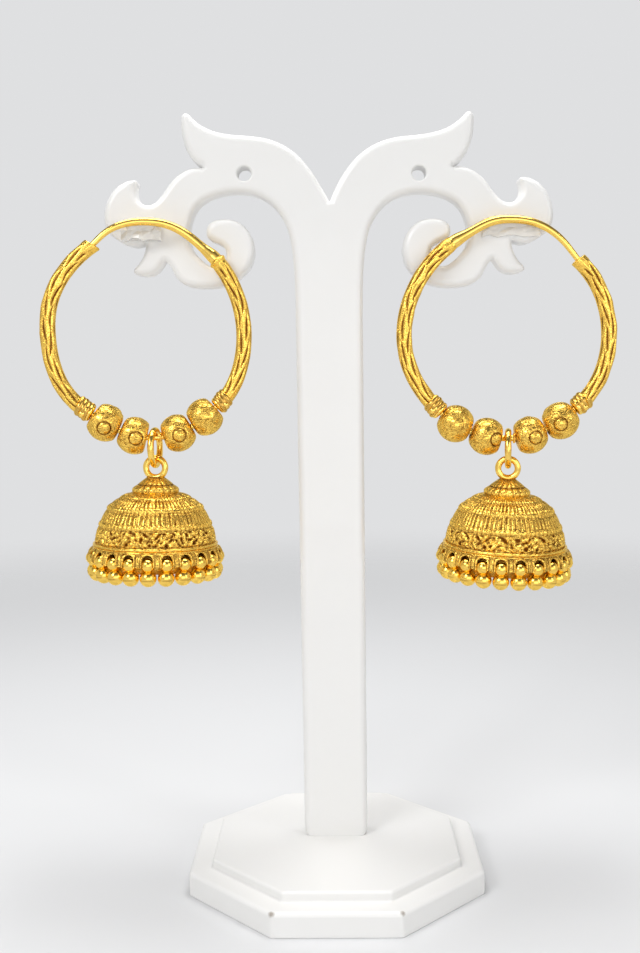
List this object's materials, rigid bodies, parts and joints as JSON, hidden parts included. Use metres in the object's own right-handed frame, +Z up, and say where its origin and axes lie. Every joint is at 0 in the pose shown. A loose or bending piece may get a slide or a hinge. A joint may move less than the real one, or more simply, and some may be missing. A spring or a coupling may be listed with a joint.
{
  "type": "pair of jhumka earrings on a display stand",
  "caption": "Two hoop earrings with threaded beads and a domed bell drop with a fringe of small balls, hung on the scrolled arms of a plain white display stand.",
  "frame": {"origin": "centre of the stand base's underside", "axes": "+Z up, +X to the right seen from the front, -Y towards the front of the stand"},
  "size_m": [0.0927, 0.0478, 0.1261],
  "materials": {
    "gold": "polished and engraved",
    "white_plastic": "satin gloss",
    "clear_tape": "crumpled clear film"
  },
  "bodies": {
    "stand": {"stand_base": "white_plastic", "stand_upright": "white_plastic", "left_hoop": "gold", "left_bead_1": "gold", "left_bead_2": "gold", "left_bead_3": "gold", "left_bead_4": "gold", "left_tape": "clear_tape", "right_hoop": "gold", "right_bead_1": "gold", "right_bead_2": "gold", "right_bead_3": "gold", "right_bead_4": "gold", "right_tape": "clear_tape"},
    "left_bail": {"left_bail": "gold"},
    "left_bell": {"left_bell": "gold"},
    "right_bail": {"right_bail": "gold"},
    "right_bell": {"right_bell": "gold"}
  },
  "joints": [
    {"name": "left_bail_swing", "type": "hinge", "parent": "stand", "child": "left_bail", "pos_m": [-0.02876, -0.00289, 0.07395], "axis": [0.9945, -0.1045, 0], "range_deg": [-60, 60]},
    {"name": "left_bell_swing", "type": "hinge", "parent": "left_bail", "child": "left_bell", "pos_m": [-0.02876, -0.00289, 0.06944], "axis": [0.1045, 0.9945, 0], "range_deg": [-35, 35]},
    {"name": "right_bail_swing", "type": "hinge", "parent": "stand", "child": "right_bail", "pos_m": [0.02876, -0.00115, 0.07308], "axis": [0.9877, -0.1564, 0], "range_deg": [-60, 60]},
    {"name": "right_bell_swing", "type": "hinge", "parent": "right_bail", "child": "right_bell", "pos_m": [0.02876, -0.00115, 0.06857], "axis": [0.1564, 0.9877, 0], "range_deg": [-35, 35]}
  ]
}
